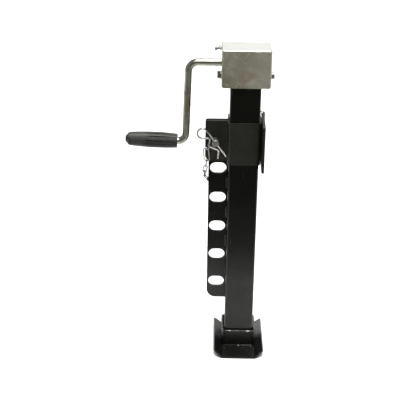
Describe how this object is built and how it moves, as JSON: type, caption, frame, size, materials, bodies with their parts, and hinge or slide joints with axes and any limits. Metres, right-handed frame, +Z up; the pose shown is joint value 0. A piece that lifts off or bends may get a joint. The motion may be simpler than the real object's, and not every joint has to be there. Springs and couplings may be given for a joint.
{
  "type": "trailer support leg",
  "caption": "Side-wind trailer leg: a square tube hangs in a pinned slotted bracket and an inner leg with a foot is cranked down.",
  "frame": {"origin": "middle of the foot's sole, on the leg's own axis", "axes": "+Z up along the leg, -Y is the side that faces the camera, -X is the side with the slotted plate and the crank, and +X is the side with the mounting plate"},
  "size_m": [0.2918, 0.14, 0.6512],
  "materials": {
    "black_paint": "semi-gloss black paint",
    "cover_plating": "yellow-grey zinc plating, mottled",
    "bright_plating": "bright zinc plating",
    "dark_fastener": "blackened steel",
    "plain_steel": "plain machined steel",
    "bearing_steel": "polished bearing steel",
    "bush_bronze": "bronze bush",
    "weld_metal": "weld bead under the black paint",
    "grip_plastic": "black moulded plastic with fine flutes",
    "nipple_steel": "bright plated steel"
  },
  "bodies": {
    "leg_tube": {"outer_tube": "black_paint", "slotted_plate": "black_paint", "plate_welds": "weld_metal", "gearbox_frame": "plain_steel", "gearbox_weld": "weld_metal", "gearbox_cover": "cover_plating", "grease_nipple": "nipple_steel", "cover_bolts": "dark_fastener", "cover_washers": "dark_fastener", "weld_nuts": "plain_steel", "shaft_bush_left": "bush_bronze", "shaft_bush_right": "bush_bronze", "screw_bush": "bush_bronze", "bearing_race_upper": "bearing_steel"},
    "screw": {"drive_screw": "plain_steel", "driven_gear": "plain_steel", "gear_nut": "plain_steel", "bearing_race_lower": "bearing_steel", "bearing_ball_row": "bearing_steel"},
    "crank": {"crank_handle": "bright_plating", "drive_pinion": "plain_steel", "pinion_pin": "plain_steel", "shaft_circlip": "plain_steel", "grip_retainer": "plain_steel"},
    "grip": {"hand_grip": "grip_plastic"},
    "inner_leg": {"inner_tube": "plain_steel", "screw_nut": "plain_steel", "foot_plate": "black_paint", "foot_cup": "black_paint", "foot_welds": "weld_metal"},
    "bracket": {"collar_sleeve": "black_paint", "pin_flange_front": "black_paint", "pin_flange_rear": "black_paint", "mounting_plate": "black_paint", "bracket_welds": "weld_metal", "anchor_ring": "bright_plating", "chain_bracket_side": "bright_plating"},
    "pin": {"lock_pin": "bright_plating"},
    "clip": {"r_clip": "bright_plating", "clip_spring": "bright_plating", "clip_link": "bright_plating", "tether_ring": "bright_plating", "chain_clip_side": "bright_plating"}
  },
  "joints": [
    {"name": "crank_turn", "type": "hinge", "parent": "leg_tube", "child": "crank", "pos_m": [0, 0, 0.619], "axis": [1, 0, 0], "range_deg": [-50400, 0]},
    {"name": "screw_turn", "type": "hinge", "parent": "leg_tube", "child": "screw", "pos_m": [0, 0, 0.58], "axis": [0, 0, 1], "range_deg": [0, 25200]},
    {"name": "leg_extend", "type": "slide", "parent": "leg_tube", "child": "inner_leg", "axis": [0, 0, -1], "range_m": [0, 0.35]},
    {"name": "grip_spin", "type": "hinge", "parent": "crank", "child": "grip", "pos_m": [-0.13266, 0, 0.45764], "axis": [-0.9995, 0, 0.0332], "continuous": true},
    {"name": "bracket_shift", "type": "slide", "parent": "leg_tube", "child": "bracket", "axis": [0, 0, 1], "range_m": [0, 0.0085]},
    {"name": "pin_slide", "type": "slide", "parent": "bracket", "child": "pin", "axis": [0, 1, 0], "range_m": [0, 0.007]},
    {"name": "clip_pull", "type": "slide", "parent": "pin", "child": "clip", "axis": [-0.599, 0, 0.8007], "range_m": [0, 0.045], "deforming": ["clip_spring", "clip_link", "tether_ring", "chain_clip_side", "chain_bracket_side"]}
  ],
  "couplings": [
    {"joint": "screw_turn", "follows": "crank_turn", "ratio": -0.5},
    {"joint": "leg_extend", "follows": "crank_turn", "m_per_rad": -0.00039788}
  ]
}
